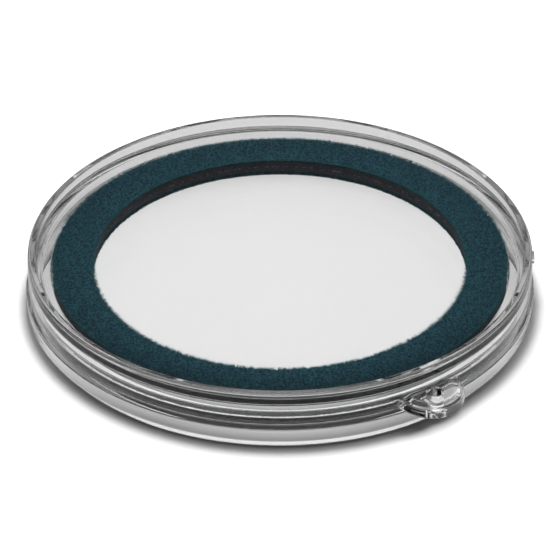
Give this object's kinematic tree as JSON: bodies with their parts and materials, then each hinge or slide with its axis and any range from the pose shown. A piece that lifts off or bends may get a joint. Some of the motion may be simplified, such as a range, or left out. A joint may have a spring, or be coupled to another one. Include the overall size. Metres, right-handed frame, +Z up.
{
  "type": "coin capsule",
  "caption": "Round clear push-fit coin capsule with a velvet-faced centring ring between its two halves and a hanging lug on the lid.",
  "frame": {"origin": "on the capsule's axis, at the face of the bottom lip that the closed capsule lies on", "axes": "+Z up through the two windows, +X towards the lid's gate mark; the hanging lug points 55 degrees from +X towards -Y"},
  "size_m": [0.0524, 0.0524, 0.0066],
  "materials": {
    "clear_base": "clear polished acrylic",
    "clear_lid": "clear polished acrylic",
    "foam": "matt die-cut foam",
    "velvet": "short dense pile"
  },
  "bodies": {
    "base": {"base_shell": "clear_base"},
    "lid": {"lid_shell": "clear_lid"},
    "ring": {"foam_ring_lower": "foam", "foam_ring_upper": "foam", "velvet_facing_lower": "velvet", "velvet_facing_upper": "velvet"}
  },
  "joints": [
    {"name": "lid_lift", "type": "slide", "parent": "base", "child": "lid", "axis": [0, 0, 1], "range_m": [0, 0.016]},
    {"name": "ring_lift", "type": "slide", "parent": "base", "child": "ring", "axis": [0, 0, 1], "range_m": [0, 0.008]}
  ],
  "couplings": [
    {"joint": "ring_lift", "follows": "lid_lift", "ratio": 0.5}
  ]
}
